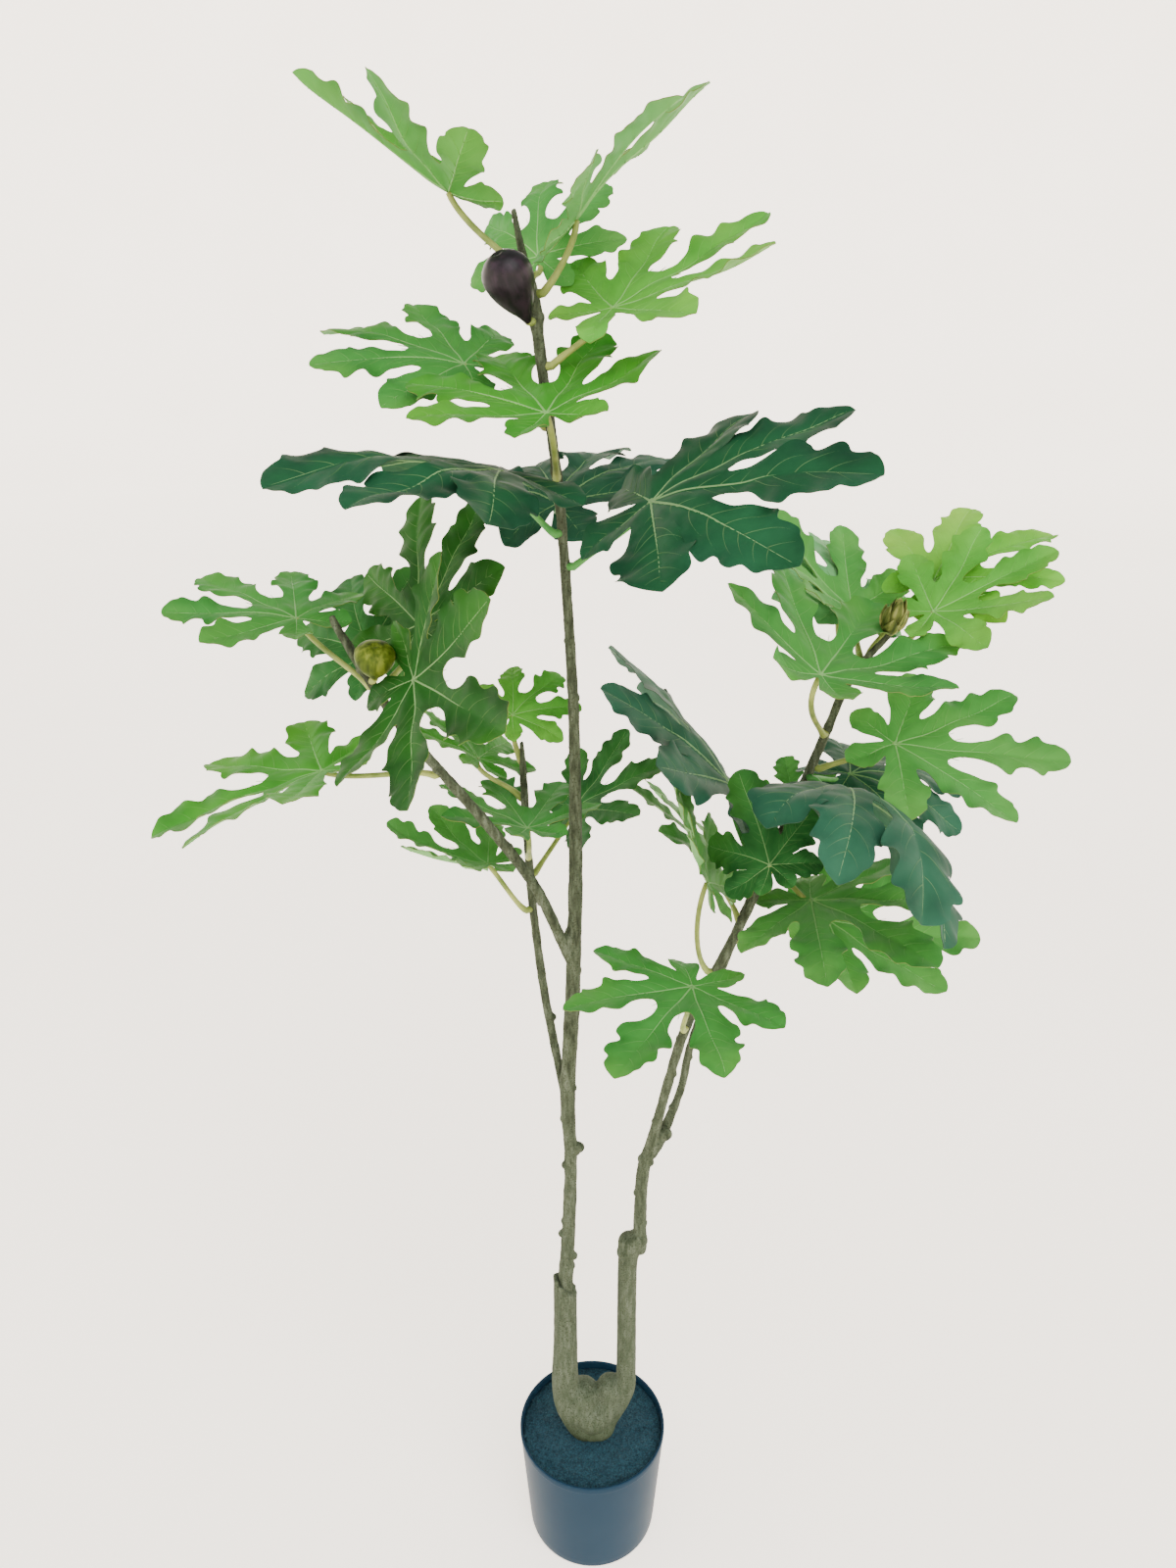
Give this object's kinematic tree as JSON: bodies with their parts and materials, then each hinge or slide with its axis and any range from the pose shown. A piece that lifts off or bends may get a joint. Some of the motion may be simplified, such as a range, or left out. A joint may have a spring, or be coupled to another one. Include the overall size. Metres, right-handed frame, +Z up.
{
  "type": "artificial potted fig tree",
  "caption": "Artificial fig tree of slim bare stems with sparse lobed fabric leaves and small figs, set in a plain dark cylindrical plastic pot that stands on the floor.",
  "frame": {"origin": "centre of the flat underside of the pot, on the floor", "axes": "+Z up along the tree, -Y towards the viewer of the picture, +X to the right of the picture"},
  "size_m": [0.6248, 0.3451, 1.1977],
  "materials": {
    "pot_plastic": "glossy dark slate",
    "pot_fill": "coarse dark grit",
    "bark": "moulded bark, grey green",
    "leaf_green": "printed cloth, bright green",
    "leaf_dark": "printed cloth, dark green",
    "fig_purple": "satin dark purple",
    "fig_green": "satin yellow green"
  },
  "bodies": {
    "root": {"crown_leaf_back_high": "leaf_green", "crown_leaf_front": "leaf_green", "crown_leaf_left": "leaf_green", "crown_leaf_left_high": "leaf_green", "crown_leaf_right": "leaf_green", "crown_leaf_right_high": "leaf_green", "dark_leaf_back": "leaf_dark", "dark_leaf_left": "leaf_dark", "dark_leaf_right": "leaf_dark", "fig_bud": "fig_green", "fig_green": "fig_green", "fig_purple": "fig_purple", "inner_leaf_dark": "leaf_dark", "inner_leaf_left": "leaf_green", "inner_leaf_slanting": "leaf_green", "inner_leaf_upright": "leaf_green", "leader": "bark", "left_bough": "bark", "left_leaf_back": "leaf_green", "left_leaf_front": "leaf_green", "left_leaf_low": "leaf_green", "left_leaf_outer": "leaf_green", "left_leaf_upright": "leaf_green", "low_leaf_front": "leaf_green", "outer_leaf_back_low": "leaf_green", "outer_leaf_dark_back": "leaf_dark", "outer_leaf_dark_drooping": "leaf_dark", "outer_leaf_front_low": "leaf_green", "outer_leaf_left": "leaf_green", "outer_leaf_right": "leaf_green", "outer_leaf_small": "leaf_green", "outer_leaf_upright": "leaf_green", "pot": "pot_plastic", "pot_fill": "pot_fill", "right_inner_branch": "bark", "right_outer_branch": "bark", "right_stem": "bark", "thin_leaf_left": "leaf_green", "thin_leaf_low": "leaf_green", "thin_leaf_middle": "leaf_green", "thin_leaf_right": "leaf_green", "thin_leaf_top": "leaf_green", "thin_stem": "bark", "top_leaf_back": "leaf_green", "top_leaf_low": "leaf_green", "top_leaf_right": "leaf_green", "trunk": "bark"}
  },
  "joints": []
}
